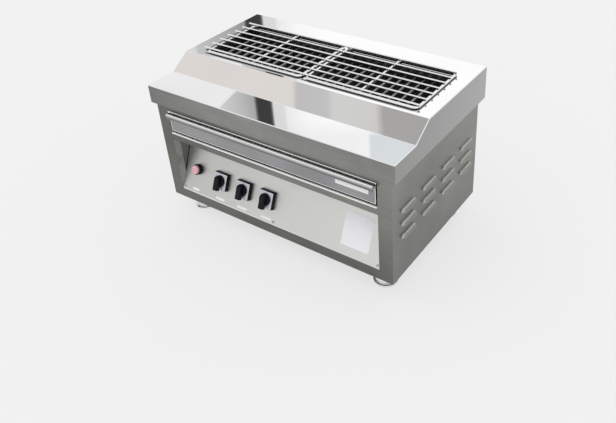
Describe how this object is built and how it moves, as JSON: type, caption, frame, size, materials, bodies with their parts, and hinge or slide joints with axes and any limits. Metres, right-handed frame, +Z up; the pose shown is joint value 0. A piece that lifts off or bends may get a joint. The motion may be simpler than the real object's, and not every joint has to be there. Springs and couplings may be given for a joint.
{
  "type": "electric wire-grate grill",
  "caption": "Countertop electric grill: folded steel body, lift-off wire grates over heater rods, pull-out drip drawer, tilted panel with rotary switches and lamp, levelling feet",
  "frame": {"origin": "on the floor under the middle of the footprint", "axes": "+X to the right across the front, +Y to the back, +Z up"},
  "size_m": [0.76, 0.468, 0.4549],
  "materials": {
    "polished_steel": "bright polished stainless sheet",
    "brushed_steel": "fine brushed stainless sheet",
    "wire_steel": "bright welded wire",
    "heater_sheath": "dull grey heater sheath",
    "foot_chrome": "turned and polished steel",
    "screw_steel": "plain steel screws",
    "face_plate": "satin silver plate",
    "black_plastic": "black moulded plastic",
    "grey_plastic": "grey moulded plastic",
    "lamp_red": "translucent rose-red lens"
  },
  "bodies": {
    "root": {"back_panel": "brushed_steel", "bottom_plate": "brushed_steel", "bottom_rail": "brushed_steel", "cable_gland": "black_plastic", "cheek_left": "brushed_steel", "cheek_right": "brushed_steel", "control_panel": "brushed_steel", "divider_plate": "brushed_steel", "drawer_runner_left": "brushed_steel", "drawer_runner_right": "brushed_steel", "fire_box": "brushed_steel", "foot_locknuts": "foot_chrome", "foot_sockets": "foot_chrome", "grate_centre_bar": "brushed_steel", "header_rail": "brushed_steel", "heater_bank_left": "heater_sheath", "heater_bank_middle": "heater_sheath", "heater_bank_right": "heater_sheath", "heater_links": "brushed_steel", "heater_rest": "brushed_steel", "lamp_housing": "black_plastic", "lamp_lens": "lamp_red", "mid_rail": "brushed_steel", "panel_screws": "screw_steel", "side_panel_left": "brushed_steel", "side_panel_right": "brushed_steel", "switch_base_1": "black_plastic", "switch_base_2": "black_plastic", "switch_base_3": "black_plastic", "switch_body_1": "grey_plastic", "switch_body_2": "grey_plastic", "switch_body_3": "grey_plastic", "switch_face_1": "face_plate", "switch_face_2": "face_plate", "switch_face_3": "face_plate", "terminal_block": "grey_plastic", "top_cover": "polished_steel"},
    "drawer": {"drawer_front": "brushed_steel", "drawer_tray": "brushed_steel", "tray_wall_back": "brushed_steel", "tray_wall_front": "brushed_steel", "tray_wall_left": "brushed_steel", "tray_wall_right": "brushed_steel"},
    "grate_left_body": {"grate_left": "wire_steel"},
    "grate_right_body": {"grate_right": "wire_steel"},
    "knob_1": {"switch_knob_1": "black_plastic"},
    "knob_2": {"switch_knob_2": "black_plastic"},
    "knob_3": {"switch_knob_3": "black_plastic"},
    "foot_fl": {"foot_front_left": "foot_chrome"},
    "foot_fr": {"foot_front_right": "foot_chrome"},
    "foot_rl": {"foot_rear_left": "foot_chrome"},
    "foot_rr": {"foot_rear_right": "foot_chrome"}
  },
  "joints": [
    {"name": "drawer_slide", "type": "slide", "parent": "root", "child": "drawer", "axis": [0, -1, 0], "range_m": [0, 0.3]},
    {"name": "grate_left_lift", "type": "slide", "parent": "root", "child": "grate_left_body", "axis": [0, 0, 1], "range_m": [0, 0.12]},
    {"name": "grate_right_lift", "type": "slide", "parent": "root", "child": "grate_right_body", "axis": [0, 0, 1], "range_m": [0, 0.12]},
    {"name": "switch_1_turn", "type": "hinge", "parent": "root", "child": "knob_1", "pos_m": [-0.19, -0.21277, 0.15083], "axis": [0, -0.9063, 0.4226], "range_deg": [0, 270]},
    {"name": "switch_2_turn", "type": "hinge", "parent": "root", "child": "knob_2", "pos_m": [-0.1095, -0.21277, 0.15083], "axis": [0, -0.9063, 0.4226], "range_deg": [0, 270]},
    {"name": "switch_3_turn", "type": "hinge", "parent": "root", "child": "knob_3", "pos_m": [-0.029, -0.21277, 0.15083], "axis": [0, -0.9063, 0.4226], "range_deg": [0, 270]},
    {"name": "foot_front_left_adjust", "type": "slide", "parent": "root", "child": "foot_fl", "axis": [0, 0, -1], "range_m": [-0.006, 0.008]},
    {"name": "foot_front_right_adjust", "type": "slide", "parent": "root", "child": "foot_fr", "axis": [0, 0, -1], "range_m": [-0.006, 0.008]},
    {"name": "foot_rear_left_adjust", "type": "slide", "parent": "root", "child": "foot_rl", "axis": [0, 0, -1], "range_m": [-0.006, 0.008]},
    {"name": "foot_rear_right_adjust", "type": "slide", "parent": "root", "child": "foot_rr", "axis": [0, 0, -1], "range_m": [-0.006, 0.008]}
  ]
}
